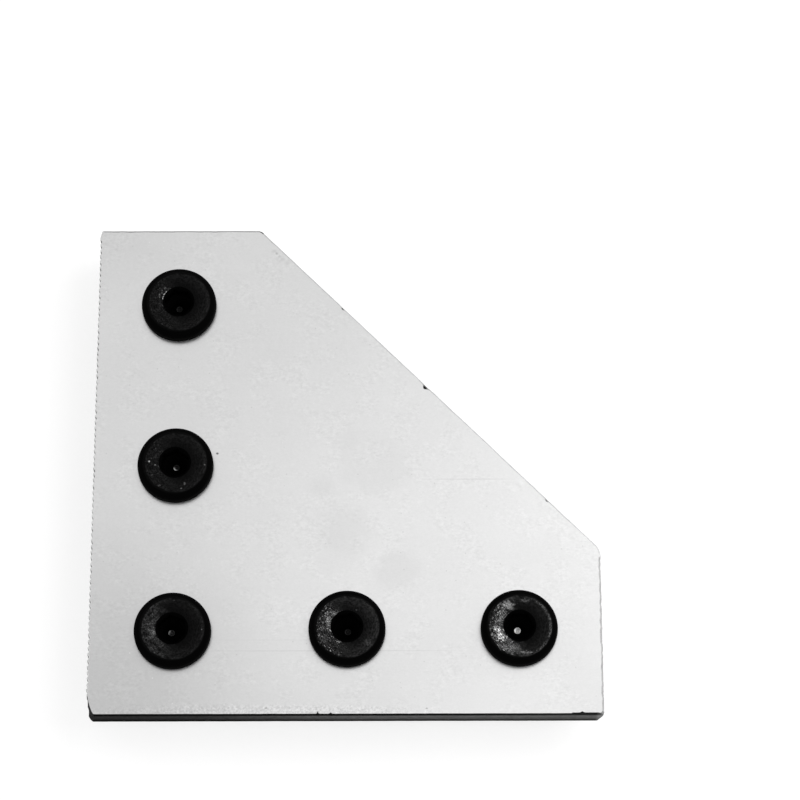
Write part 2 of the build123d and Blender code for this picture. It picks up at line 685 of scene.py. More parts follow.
    def make(self, groups: EffectGroups) -> bpy.types.Material:
        """Build the material from its groups and return it."""
        disc_tone, lit_haze_tone, fleck_tone, rim_highlight_tone, share = self.wear_and_light.value
        sheet = self.start(groups)
        place = sheet.millimetres(self.centre)
        ring, distance, toward_lit_side, right = self.turned(sheet, place)
        cloud = sheet.noise(ring, *self.cloud)
        on_disc, arc = self.rim_masks(sheet, place, ring, cloud)
        # The lit side on the left, and on it a haze of painted light.
        side = sheet.math("MULTIPLY_ADD", cloud, self.lit_side_wander, toward_lit_side)
        side = sheet.ramp(side, *self.lit_side_band)
        lit_haze = sheet.math("MULTIPLY", sheet.math("MULTIPLY", side, on_disc),
                          sheet.ramp(cloud, *self.lit_haze_band))
        tone = sheet.blend(self.shoulder_tone, disc_tone, on_disc)
        tone = sheet.blend(tone, lit_haze_tone, lit_haze)
        for mark in self.marks:
            tone = sheet.blend(tone, mark.tone, sheet.patch(place, mark))
        # Painted shade on the disc away from its lit side: darker towards the socket, lighter towards
        # the rim.
        shade = sheet.blend(sheet.ramp(distance, *self.shade_band), 1.0, side)
        tone = sheet.math("MULTIPLY", tone, shade)
        # Painted highlight on the right of the rim's arc.
        lit_arc = sheet.math("MULTIPLY", arc, sheet.ramp(right, *self.right_band))
        tone = sheet.blend(tone, rim_highlight_tone, lit_arc)
        plain, lit_side_mottle = (sheet.mottle(ring, kind) for kind in (self.plain_grain, self.lit_side_grain))
        grain = sheet.blend(plain, lit_side_mottle, side)
        tone = sheet.math("MULTIPLY", tone, grain)
        # Flecks of bare metal, which on the lit side also paint its glints.
        flecks = self.flecks(sheet, ring, side, on_disc, share)
        sheet.dress("Base Color", sheet.blend(tone, fleck_tone, flecks))
        sheet.dress("Metallic", sheet.math("MULTIPLY", flecks, self.fleck_metal))
        sheet.bump(sheet.math("MULTIPLY", grain, on_disc), self.relief)
        return sheet.material


@dataclass(frozen=True)
class BlackSteel(Finish):
    """Plain blackened steel of the shank, thread and socket, with a slight mottle."""

    tone: float = 0.012
    mottle: Grain = Grain(2.4, 2.4, 0.4)
    relief: float = 0.006

    def make(self, groups: EffectGroups) -> bpy.types.Material:
        """Build the material from its groups and return it."""
        sheet = self.start(groups)
        mottle = sheet.grain(sheet.millimetres(), self.mottle)
        sheet.dress("Base Color", sheet.math("MULTIPLY", mottle, self.tone))
        sheet.bump(mottle, self.relief)
        return sheet.material


@dataclass
class JoiningPlate:
    """The flat plate: a square corner whose far corner is cut off at a slant, with five holes."""

    hole_pitch: float = 20.0
    margin: float = 9.75
    leg_width: float = 19.5
    thickness: float = 4.0
    hole_radius: float = 2.75
    hole_break: float = 0.1
    entry_length: float = 1.0
    entry_depth: float = 0.27
    tooth_pitch: float = 0.72
    tooth_depth: float = 0.21
    tooth_lean: float = 0.10
    tooth_points: int = 10
    width_spread: float = 0.13
    depth_spread: float = 0.22
    ridge_drop: float = 0.035
    facet: tuple[float, float, float] = (0.62, 0.17, 0.02)
    facet_levels: tuple[float, float, float] = (0.0, 0.55, 1.0)
    facet_light: tuple[tuple[float, float], tuple[float, float]] = ((0.12, 0.4), (0.05, 0.26))
    heel_face: tuple[float, float] = (1.00, 3.40)
    heel_back: tuple[float, float] = (0.60, 0.80)
    heel_power: float = 1.35
    heel_shade_tone: float = 0.034
    step_run: float = 55.7
    step_depth: float = 0.08
    step_reach: float = 0.8
    coarse_share: float = 0.65
    fine_pitches: int = 3
    chip_narrowing: float = 2.2
    break_spread: float = 0.4
    break_pitch: float = 6.0
    wall_levels: tuple[float, ...] = (0.07, 0.14, 0.2, 0.33, 0.5, 0.6, 0.7, 0.77, 0.9, 0.93)
    arc_step: float = 0.1
    arc_gap: float = 0.03
    hole_points: int = 64
    hole_tone: float = 0.34
    fade: float = 0.4
    crease: float = 20.0

    FACE, WALL, BROKEN = range(3)
    TEETH_SEED, COARSE_SEED, FINE_SEED, BREAK_SEED = 41, 60, 70, 5

    def __post_init__(self) -> None:
        """Set the finish of each side and the chips out of their edges."""
        self.far_edge = 2 * self.hole_pitch + self.margin
        self.edges = {
            Side.BOTTOM: EdgeFinish(0.02, 0.015, 0.9, 0.012, 0.10, 0.13),
            Side.RIGHT: EdgeFinish(0.22, 0.09, 0.42, 0.31, 0.24, 0.10),
            Side.SLANT: EdgeFinish(0.17, 0.03, 0.8, 0.45, 0.30, 0.14),
            Side.TOP: EdgeFinish(0.16, 0.015, 0.7, 0.05, 0.24, 0.14),
            Side.SAW_ENTRY: EdgeFinish(0.12, 0.0, 1.0, 0.55, 0.24, 0.12),
            Side.SAWN: EdgeFinish(0.12, 0.0, 1.0, 0.62, 0.24, 0.072),
        }
        self.chips = (
            Chip(Side.SLANT, 8.51, 0.40, 0.14, 0.4, 0.15),
            Chip(Side.SLANT, 28.47, 0.66, 0.31, 0.36, 0.001),
            Chip(Side.SLANT, 42.44, 0.35, 0.10, 0.3, 0.12),
            Chip(Side.BOTTOM, 26.63, 0.30, 0.10, 0.3, 0.02),
            Chip(Side.BOTTOM, 28.12, 0.30, 0.10, 0.3, 0.02),
            Chip(Side.BOTTOM, 56.93, 0.35, 0.14, 0.3, 0.02),
        )

    def corners(self) -> tuple[Corner, ...]:
        """Return the outline's corners, anticlockwise from the heel."""
        low, far, slant = -self.margin, self.far_edge, self.leg_width - self.margin
        return (
            Corner(low, low, 0.4),
            Corner(far, low, 0.3),
            Corner(far, slant, 2.2),
            Corner(slant, far, 0.9),
            Corner(low + self.entry_depth, far, 0.15),
            Corner(low, far - self.entry_length, 0.3),
        )

    def teeth(self) -> tuple[np.ndarray, np.ndarray, np.ndarray]:
        """Return where the saw's marks end along the sawn side, their depths and the ridges' drops."""
        luck = np.random.default_rng(self.TEETH_SEED)
        length = self.far_edge - self.entry_length + self.margin
        count = int(length / self.tooth_pitch)
        widths = 1.0 + self.width_spread * luck.uniform(-1, 1, count)
        ends = np.concatenate([[0.0], np.cumsum(widths)]) * (length / widths.sum())
        depths = self.tooth_depth * (1.0 + self.depth_spread * luck.uniform(-1, 1, count))
        drops = self.ridge_drop * luck.uniform(0, 1, count + 1)
        return ends, depths, drops

    def walk(self) -> Walk:
        """Take points round the outline: an arc at each corner, then the straight side after it.

        An arc's centre stands off both sides by its radius, and its points are the centre plus
        the radius along the outward direction, which turns evenly from one side's to the next's.

        Returns:
            The points with their outward directions, sides and distances along them.
        """
        corners = self.corners()
        places = np.array([(c.x, c.y) for c in corners])
        radii = np.array([c.radius for c in corners])
        ahead = np.roll(places, -1, axis=0) - places
        lengths = np.linalg.norm(ahead, axis=1)
        ahead /= lengths[:, None]
        behind = np.roll(ahead, 1, axis=0)
        turns = np.arctan2(behind[:, 0] * ahead[:, 1] - behind[:, 1] * ahead[:, 0],
                           (behind * ahead).sum(axis=1))
        trims = radii * np.tan(turns / 2)
        tooth_ends = self.teeth()[0]
        parts = []
        for i, side in enumerate(Side):
            start = np.arctan2(-behind[i, 0], behind[i, 1])
            steps = max(4, int(radii[i] * turns[i] / self.arc_step))
            angles = start + turns[i] * np.linspace(0, 1, steps)[:-1]
            out = np.stack([np.cos(angles), np.sin(angles)], axis=1)
            inward = np.array([-behind[i, 1], behind[i, 0]])
            centre = places[i] - behind[i] * trims[i] + inward * radii[i]
            nothing = np.zeros(len(angles))
            parts.append((centre + radii[i] * out, out, nothing + side, nothing, nothing))
            stop = lengths[i] - trims[(i + 1) % len(corners)]
            if side is Side.SAWN:
                marks = np.arange(len(tooth_ends))
                places_on = np.arange(self.tooth_points * marks[-1] + 1) / self.tooth_points
                run = np.interp(places_on, marks, tooth_ends)
                run = run[(run > trims[i] + self.arc_gap) & (run < stop - self.arc_gap)]
                run = np.concatenate([[trims[i]], run])
            else:
                steps = int((stop - trims[i]) / self.edges[side].step)
                run = np.linspace(trims[i], stop, steps)[:-1]
            flat = np.broadcast_to((ahead[i, 1], -ahead[i, 0]), (len(run), 2))
            parts.append((places[i] + ahead[i] * run[:, None], flat, np.full(len(run), side), run,
                          stop - run))
        points, outward, side, run, left = (np.concatenate(column) for column in zip(*parts))
        return Walk(points, outward, side.astype(int), run, left)

    @staticmethod
    def wander(run: np.ndarray, pitch: float, seed: int) -> np.ndarray:
        """Return heights from 0 to 1: random at knots a pitch apart, with cosine passages between."""
        knots = np.random.default_rng(seed).uniform(0, 1, int(run.max() / pitch) + 3)
        place = run / pitch
        low = place.astype(int)
        share = (1 - np.cos(np.pi * (place - low))) / 2
        return knots[low] * (1 - share) + knots[low + 1] * share

    def wall_depth(self, walk: Walk, heights: np.ndarray) -> np.ndarray:
        """Work out how far each wall point lies inside the straight outline.

        Each side has waves of its own depth and pitch. The sawn side has round hollows between
        pointed ridges: a tooth's depth times the sine of half a turn across its mark, plus what
        the ridges fell short by. Each chip adds its depth times its share of the point, and the
        upper part of the bottom side steps in near its end.

        Args:
            walk: the way round the outline.
            heights: the height of each row and column of the wall.

        Returns:
            The depths as rows and columns.
        """
        depth = np.zeros_like(heights)
        inside = np.clip(np.minimum(walk.run, walk.left) / self.fade, 0, 1)
        for side, finish in self.edges.items():
            on = (walk.side == side) & (walk.left > 0)
            run = walk.run[on]
            coarse = self.wander(run, finish.wave_pitch, self.COARSE_SEED + side)
            fine = self.wander(run, finish.wave_pitch / self.fine_pitches, self.FINE_SEED + side)
            waves = self.coarse_share * coarse + (1 - self.coarse_share) * fine
            depth[:, on] += finish.wave_depth * waves
        sawn = (walk.side == Side.SAWN) & (walk.left > 0)
        ends, depths, drops = self.teeth()
        lean = self.tooth_lean * (heights[:, sawn] / self.thickness - 0.5)
        run = np.clip(walk.run[sawn] + lean, 0, ends[-1] - 1e-6)
        tooth = np.searchsorted(ends, run, side="right") - 1
        share = (run - ends[tooth]) / (ends[tooth + 1] - ends[tooth])
        depth[:, sawn] += depths[tooth] * np.sin(np.pi * share) + np.interp(run, ends, drops)
        depth *= inside
        for chip in self.chips:
            depth += chip.depth * self.chip_share(chip, walk, heights)
        stepped = (walk.side == Side.BOTTOM) & (walk.run > self.step_run)
        upper = np.clip(1 - (self.thickness - heights) / self.step_reach, 0, 1)
        return depth + self.step_depth * stepped * upper * inside

    def chip_share(self, chip: Chip, walk: Walk, heights: np.ndarray) -> np.ndarray:
        """Return a chip's share of each wall point: a bell along the side that fades downwards."""
        along = np.where(walk.side == chip.side, walk.run - chip.run, np.inf) / chip.width
        upper = np.clip(1 - (self.thickness - heights) / chip.height, 0, 1)
        return np.exp(-(self.chip_narrowing * along) ** 2) * upper

    def wall(self, maker: MeshMaker) -> np.ndarray:
        """Add the plate's outer wall, from the back's ring up to the face's.

        Each edge break is a quarter round: at an angle a, its inset is the width times 1 minus
        the sine, and its height the width times 1 minus the cosine.

        Args:
            maker: the mesh that it goes into.

        Returns:
            The numbers of its points as rows and columns.
        """
        walk = self.walk()
        finishes = [self.edges[Side(side)] for side in walk.side]
        width = np.array([finish.break_width for finish in finishes])
        uneven = self.wander(np.arange(len(width), dtype=float), self.break_pitch, self.BREAK_SEED)
        width = width * (1 - self.break_spread / 2 + self.break_spread * uneven)
        turn = np.radians([0, 45, 90])
        between = self.thickness * np.array(self.wall_levels)
        straight = np.zeros(len(between))
        inset = np.concatenate([1 - np.sin(turn), straight, (1 - np.sin(turn))[::-1]])
        rise = np.concatenate([1 - np.cos(turn), straight, (np.cos(turn) - 1)[::-1]])
        level = np.concatenate([np.zeros(3), between, np.full(3, self.thickness)])
        heights = level[:, None] + rise[:, None] * width
        depth = self.wall_depth(walk, heights) + inset[:, None] * width
        flat = walk.points - walk.outward * depth[..., None]
        flat, cut = self.cut_facet(flat, heights)
        flat, filed = self.file_heel(flat, heights)
        # The breaks' greys hold painted light and shade, dark along the bottom and top and lighter
        # along the other sides.
        in_break = np.isin(level, (0.0, self.thickness))[:, None]
        broken = np.array([finish.break_tone_and_light for finish in finishes])
        wall = np.array([finish.wall_tone for finish in finishes])
        tone = np.where(in_break, broken, wall)
        bottom = self.bottom_tone(walk.points[:, 0], heights)
        tone = np.where(walk.side == Side.BOTTOM, bottom, tone)
        # Painted light and shade on the cut facet, darker towards its lower edge.
        tone = np.where(cut, np.interp(heights / self.thickness, *self.facet_light), tone)
        # Painted shade on the filed heel.
        tone = np.where(filed, self.heel_shade_tone, tone)
        for chip in self.chips:
            share = np.clip(2 * self.chip_share(chip, walk, heights), 0, 1)
            tone = tone + (chip.tone - tone) * share
        zones = np.repeat([self.BROKEN, self.WALL, self.BROKEN], [2, len(between) + 1, 2])
        return maker.grid(np.concatenate([flat, heights[..., None]], axis=2), zones, tone)

    def cut_facet(self, flat: np.ndarray, heights: np.ndarray) -> tuple[np.ndarray, np.ndarray]:
        """Cut the corner at the level leg's end off at 45 degrees.

        Where a point lies past the cut's line, it moves straight back onto it. The line's two
        equal legs shorten upwards by straight passages between a few heights.

        Args:
            flat: x and y of each row and column.
            heights: the height of each row and column.

        Returns:
            The moved places, and which points were moved.
        """
        toward = np.array([1.0, -1.0]) / np.sqrt(2)
        corner = (self.far_edge + self.margin) / np.sqrt(2)
        leg = np.interp(heights / self.thickness, self.facet_levels, self.facet)
        over = np.maximum(0, flat @ toward - (corner - leg / np.sqrt(2)))
        return flat - over[..., None] * toward, over > 0

    def bottom_tone(self, x: np.ndarray, heights: np.ndarray) -> np.ndarray:
        """Work out the grey of the bottom wall, its own grey with painted shade.

        It is dark along its lower and upper edges. Between them it grows lighter upwards, and along
        the leg by straight passages between a few places, which is painted light growing towards the
        leg's end.

        Args:
            x: how far along the leg each column lies.
            heights: the height of each row and column.

        Returns:
            The greys as rows and columns.
        """
        middle = np.interp(x, (-7.0, 3.0, 9.0, 21.0, 48.8, 49.3),
                           (0.046, 0.058, 0.085, 0.145, 0.152, 0.27))
        dark = np.interp(x, (3.0, 36.0, 44.0, 48.8, 49.3), (0.004, 0.016, 0.026, 0.034, 0.12))
        inner = np.interp(heights / self.thickness, (0.10, 0.20, 0.33, 0.5, 0.6, 0.70, 0.77),
                          (0.0, 0.30, 0.68, 0.88, 1.0, 1.0, 0.0))
        return dark + (middle - dark) * inner

    def file_heel(self, flat: np.ndarray, heights: np.ndarray) -> tuple[np.ndarray, np.ndarray]:
        """Cut the heel back to a quarter of a flattened oval that is longer and wider at the face.

        In a corner of the oval's two half lengths, a point's sides to the oval's centre are taken
        in shares of them. Where the shares, each to a power, add up to over 1, the point moves
        towards the centre until they add up to 1. The half lengths pass evenly from the back's
        to the face's.

        Args:
            flat: x and y of each row and column.
            heights: the height of each row and column.

        Returns:
            The moved places, and which points are on the filed heel.
        """
        share = (heights / self.thickness)[..., None]
        half = np.array(self.heel_back) * (1 - share) + np.array(self.heel_face) * share
        away = 1 - np.clip((flat + self.margin) / half, 0, 1)
        distance = (away ** self.heel_power).sum(axis=-1) ** (1 / self.heel_power)
        moved = away * (1 - 1 / np.maximum(distance, 1))[..., None]
        return flat + half * moved, (distance > 1) & (away.min(axis=-1) > 0)

    def hole(self, maker: MeshMaker, x: float, y: float) -> np.ndarray:
        """Add the wall of one hole: a ring at each height, wider at the two broken edges."""
        angle = np.linspace(0, 2 * np.pi, self.hole_points, endpoint=False)
        radii = self.hole_radius + self.hole_break * np.array([1, 0, 0, 1])
        heights = np.array([0, self.hole_break, self.thickness - self.hole_break, self.thickness])
        points = np.empty((len(heights), self.hole_points, 3))
        points[..., 0] = x + radii[:, None] * np.cos(angle)
        points[..., 1] = y + radii[:, None] * np.sin(angle)
        points[..., 2] = heights[:, None]
        zones = np.array([self.BROKEN, self.WALL, self.BROKEN])
        return maker.grid(points, zones, np.full(points.shape[:2], self.hole_tone))

    def build(self, screw_places: list[tuple[float, float]],
              materials: list[bpy.types.Material]) -> bpy.types.Object:
        """Build the closed mesh of the plate and make it stand for its CAD node.

        Args:
            screw_places: the holes' centres.
            materials: the finishes of the face, the walls and the edge breaks.

        Returns:
            The plate's object.
        """
        maker = MeshMaker()
        wall = self.wall(maker)
        holes = [self.hole(maker, x, y) for x, y in screw_places]
        maker.cap([wall[0], *(hole[0] for hole in holes)], self.FACE)
        maker.cap([wall[-1], *(hole[-1] for hole in holes)], self.FACE)
        piece = maker.finish("dressed_plate", materials, self.crease, self.FACE)
        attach(piece, "root")
        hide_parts("joining_plate")
        return piece


@dataclass
class SocketScrew:
    """One low-head socket screw, on the axis of its hole moved by how it sits in its clearance."""

    node: str
    x: float
    y: float
    shift_x: float
    shift_y: float
    socket_turn: float
    wear_and_light: HeadWearAndLight
    marks: tuple[Patch, ...]
    pip_highlight_tones: tuple[float, float]
    pip_highlight_angle: float
    pip_shift: tuple[float, float]
    plate_thickness: float = 4.0
    bite_length: float = 4.0
    thread_radius: float = 2.5
    root_radius: float = 2.01
    thread_pitch: float = 0.8
    thread_top: float = 0.6
    thread_rows: int = 12
    flank_gain: float = 1.3
    root_width: float = 0.12
    fade_start: float = -0.1
    fade_length: float = 0.7
    tip_radius: float = 2.0
    neck_radius: float = 2.24
    neck_overlap: float = 0.1
    head_radius: float = 4.45
    head_height: float = 1.8
    head_break: float = 0.08
    shoulder: float = 1.05
    shoulder_rows: int = 13
    disc_rows: int = 7
    disc_on_shoulder: int = 3
    disc_dish: float = 0.08
    mouth_radius: float = 1.9
    flat_radius: float = 1.5
    socket_depth: float = 1.6
    socket_levels: tuple[float, ...] = (0.05, 0.1, 0.16, 0.22, 0.29, 0.36, 0.43, 0.8, 1.2, 1.52)
    drill_radius: float = 1.4
    cone_radius: float = 0.9
    pip_depth: float = 2.5
    pip_radius: float = 0.35
    pip_rim: float = 0.04
    pip_sink: float = 0.07
    pip_rings: tuple[float, float] = (0.24, 0.13)
    pip_power: int = 3
    columns: int = 96
    crease: float = 32.0

    SHANK, SHOULDER, DISC, SOCKET, PIP = range(5)
    PIP_ROWS = 4

    def shank(self, angle: np.ndarray) -> tuple[np.ndarray, np.ndarray]:
        """Work out the thread and the neck above it.

        The thread's radius is its root plus its depth times a flat-topped triangle wave of the
        height in pitches less the angle in turns. It is cut back by the tip's cone, and passes
        smoothly into the neck over the last pitch inside the plate.

        Args:
            angle: the columns' angles.

        Returns:
            Radii and heights as rows and columns.
        """
        count = int((self.bite_length + self.thread_top) / self.thread_pitch * self.thread_rows)
        height = np.linspace(-self.bite_length, self.thread_top, count)[:, None]
        phase = (height / self.thread_pitch - angle / (2 * np.pi)) % 1.0
        wave = np.clip(self.flank_gain * (1 - np.abs(2 * phase - 1)) - self.root_width, 0, 1)
        radius = self.root_radius + (self.thread_radius - self.root_radius) * wave
        radius = np.minimum(radius, self.tip_radius + height + self.bite_length)
        fade = np.clip((height - self.fade_start) / self.fade_length, 0, 1)
        fade = fade * fade * (3 - 2 * fade)
        radius = radius * (1 - fade) + self.neck_radius * fade
        neck = np.array([[self.plate_thickness - self.neck_overlap], [self.plate_thickness]])
        radius = np.concatenate([radius, np.full((len(neck), len(angle)), self.neck_radius)])
        height = np.concatenate([height, neck])
        return radius, height + np.zeros_like(radius)

    def head(self, angle: np.ndarray) -> tuple[np.ndarray, np.ndarray]:
        """Work out the head's outside: underside, flank, rounded shoulder and dished disc.

        The shoulder is a quarter circle, and the disc falls towards the socket by the dish
        times 1 minus the square of how far out a point lies between the mouth and the rim.

        Args:
            angle: the columns' angles.

        Returns:
            Radii and heights as rows and columns.
        """
        top = self.plate_thickness + self.head_height
        rim = self.head_radius - self.shoulder
        arc = np.radians(np.linspace(0, 90, self.shoulder_rows))
        out = np.linspace(1, 0, self.disc_rows + 1)[1:]
        radius = np.concatenate([[self.head_radius - self.head_break, self.head_radius],
                                 rim + self.shoulder * np.cos(arc),
                                 self.mouth_radius + (rim - self.mouth_radius) * out])
        height = np.concatenate([[self.plate_thickness, self.plate_thickness + self.head_break],
                                 top - self.shoulder + self.shoulder * np.sin(arc),
                                 top - self.disc_dish * (1 - out ** 2)])
        shape = np.zeros((len(radius), len(angle)))
        return radius[:, None] + shape, height[:, None] + shape

    def socket(self, angle: np.ndarray) -> tuple[np.ndarray, np.ndarray]:
        """Work out the socket: flared mouth, six walls, drilled cone and the pip in it.

        The wall's radius is the greater of the hexagon's, its flat's over the cosine of the
        angle from the middle of the flat, and the mouth's less the depth. The cone falls evenly
        from the socket's floor to the pip's rim, and the pip is flat with a hollow in its middle.

        Args:
            angle: the columns' angles.

        Returns:
            Radii and heights as rows and columns.
        """
        top = self.plate_thickness + self.head_height
        depth = np.array(self.socket_levels)[:, None]
        from_flat = (angle - self.socket_turn + np.pi / 6) % (np.pi / 3) - np.pi / 6
        hexagon = self.flat_radius / np.cos(from_flat)
        radius = np.maximum(hexagon, self.mouth_radius - depth)
        pip = top - self.pip_depth
        cone = np.array([self.drill_radius, self.cone_radius, self.pip_radius + self.pip_rim,
                         self.pip_radius, *self.pip_rings])
        level = np.interp(cone, cone[[2, 0]], (pip + self.pip_sink, top - self.socket_depth))
        level[3:] = pip, pip, pip - self.pip_sink
        height = np.concatenate([(top - self.disc_dish) - depth, level[:, None]])
        radius = np.concatenate([radius, cone[:, None] + np.zeros((len(cone), len(angle)))])
        return radius, height + np.zeros_like(radius)

    def build(self, materials: list[bpy.types.Material]) -> bpy.types.Object:
        """Build the closed mesh of the screw and make it stand for its CAD node.

        Args:
            materials: the finishes of the shank, shoulder, disc, socket and pip.

        Returns:
            The screw's object.
        """
        angle = np.linspace(0, 2 * np.pi, self.columns, endpoint=False)
        shank, head, socket = self.shank(angle), self.head(angle), self.socket(angle)
        radius, height = (np.concatenate(column) for column in zip(shank, head, socket))
        centre = np.array([self.x + self.shift_x, self.y + self.shift_y, 0.0])
        points = np.stack([radius * np.cos(angle), radius * np.sin(angle), height], axis=2) + centre
        points[-self.PIP_ROWS:, :, :2] += self.pip_shift
        # Painted highlight on the pip at the socket's floor: bright on the side towards the light, dim
        # elsewhere.
        tones = np.ones(radius.shape)
        lit, dim = self.pip_highlight_tones
        toward_light = np.clip(np.cos(angle - self.pip_highlight_angle), 0, 1) ** self.pip_power
        tones[-self.PIP_ROWS:] = dim + (lit - dim) * toward_light
        tones[-1] = dim
        on_disc = self.disc_on_shoulder + self.disc_rows
        on_pip = self.PIP_ROWS - 1
        bands = [len(shank[0]), len(head[0]) - on_disc - 1, on_disc, len(socket[0]) - on_pip, on_pip]
        zones = np.repeat([self.SHANK, self.SHOULDER, self.DISC, self.SOCKET, self.PIP], bands)
        maker = MeshMaker()
        rows = maker.grid(points, zones, tones)
        tip = centre + np.array([0, 0, -self.bite_length])
        bottom = points[-1].mean(axis=0)
        maker.pole(rows[0], tip, self.SHANK, 1.0)
        maker.pole(rows[-1], bottom, self.PIP, dim)
        piece = maker.finish("dressed_" + self.node, materials, self.crease)
        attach(piece, "root")
        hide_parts(self.node)
        return piece

    def head_finish(self, groups: EffectGroups) -> bpy.types.Material:
        """Return the black finish of this screw's head, worn as this one is."""
        name = "black_head_" + self.node.removeprefix("screw_")
        centre = (self.x + self.shift_x, self.y + self.shift_y)
        return BlackHead(name, roughness=0.42, metallic=0.0, specular=0.03, wear_and_light=self.wear_and_light,
                         marks=self.marks, centre=centre).make(groups)


@dataclass
class Studio:
    """Pale floor, soft light and the camera at the photograph's viewing angle."""

    floor_level: float = -4.0
    floor_reach: float = 1500.0
    floor_lines: int = 9
    floor_mottle: Mottle = Mottle(40.0, 2.0, 0.5, 0.0, 1.0, 0.49, 0.51)
    floor_glow: float = 0.64
    world_strength: float = 0.66
    key_place: tuple[float, float, float] = (200.0, 80.0, 220.0)
    key_size: float = 240.0
    key_power: float = 0.36
    fill_place: tuple[float, float, float] = (-60.0, 120.0, 520.0)
    fill_size: float = 420.0
    fill_power: float = 0.08
    lit_place: tuple[float, float, float] = (15.0, 15.0, 4.0)
    camera_place: tuple[float, float, float] = (24.1, -79.88, 325.18)
    camera_view: tuple[float, float, float] = (0.00688, 0.31872, -0.94782)
    camera_right: tuple[float, float, float] = (0.99998, -0.00353, 0.00607)
    lens: float = 128.52
    sensor: float = 36.0
    clip_range: tuple[float, float] = (0.01, 10.0)

    @staticmethod
    def shown_white(sheet: NodeSheet) -> Socket:
        """Return 1 where the camera, a gloss or a glass sees the surface, and 0 for other light."""
        path = sheet.add("ShaderNodeLightPath", {})
        seen = sheet.math("ADD", path.outputs["Is Camera Ray"], path.outputs["Is Glossy Ray"])
        return sheet.math("ADD", seen, path.outputs["Is Transmission Ray"])

    def world(self) -> None:
        """Light the scene from all sides, and show that light as white."""
        world = bpy.data.worlds.new("soft_surround")
        world.use_nodes = True
        bpy.context.scene.world = world
        sheet = NodeSheet(world.node_tree)
        light = world.node_tree.nodes["Background"]
        light.inputs["Color"].default_value = WHITE
        strength = sheet.blend(self.world_strength, 1.0, self.shown_white(sheet))
        sheet.feed(light.inputs["Strength"], strength)

    def floor(self) -> bpy.types.Object:
        """Lay the floor: a grid of square panes, white and with the object's soft shadow on it."""
        line = np.linspace(-self.floor_reach, self.floor_reach, self.floor_lines)
        x, y = np.meshgrid(line, line)
        points = np.stack([x, y, np.full_like(x, self.floor_level)], axis=2).reshape(-1, 3)
        index = np.arange(len(points)).reshape(x.shape)
        quads = np.stack([index[:-1, :-1], index[:-1, 1:], index[1:, 1:], index[1:, :-1]], axis=-1)
        mesh = bpy.data.meshes.new("pale_floor")
        mesh.from_pydata((points * MILLIMETRE).tolist(), [], quads.reshape(-1, 4).tolist())
        mesh.materials.append(self.floor_finish())
        piece = show("pale_floor", mesh)
        return piece

    def floor_finish(self) -> bpy.types.Material:
        """Return a matt white that glows a little for the eye only, so that it shows as white."""
        sheet = Finish("pale_floor", roughness=1.0, metallic=0.0, specular=0.0).start()
        place = sheet.add("ShaderNodeTexCoord", {}).outputs["Object"]
        sheet.dress("Base Color", sheet.mottle(place, self.floor_mottle))
        sheet.dress("Emission Color", WHITE)
        glow = sheet.math("MULTIPLY", self.shown_white(sheet), self.floor_glow)
        sheet.dress("Emission Strength", glow)
        return sheet.material

    def lamp(self, name: str, place: tuple[float, float, float], size: float, power: float) -> None:
        """Hang a square lamp of a size and power at a place, facing the middle of the plate."""
        light = bpy.data.lights.new(name, "AREA")
        light.shape = "SQUARE"
        light.size = size * MILLIMETRE
        light.energy = power
        lamp = show(name, light)
        lamp.location = Vector(place) * MILLIMETRE
        aim = Vector(self.lit_place) * MILLIMETRE - lamp.location
        lamp.rotation_euler = aim.to_track_quat("-Z", "Y").to_euler()

    def camera(self) -> None:
        """Set the camera where the photograph was taken, with its back straight to its view."""
        data = bpy.data.cameras.new("camera")
        data.lens, data.sensor_width = self.lens, self.sensor
        data.clip_start, data.clip_end = self.clip_range
        camera = show("camera", data)
        back = -Vector(self.camera_view).normalized()
        right = Vector(self.camera_right)
        right = (right - back * right.dot(back)).normalized()
        turn = Matrix((right, back.cross(right), back)).transposed()
        place = Vector(self.camera_place) * MILLIMETRE
        camera.matrix_world = Matrix.Translation(place) @ turn.to_4x4()
        bpy.context.scene.camera = camera
        bpy.context.scene.view_settings.view_transform = "Standard"

    def build(self) -> None:
        """Set the light, the floor and the camera."""
        self.world()
        self.floor()
        self.lamp("key_lamp", self.key_place, self.key_size, self.key_power)
        self.lamp("top_lamp", self.fill_place, self.fill_size, self.fill_power)
        self.camera()


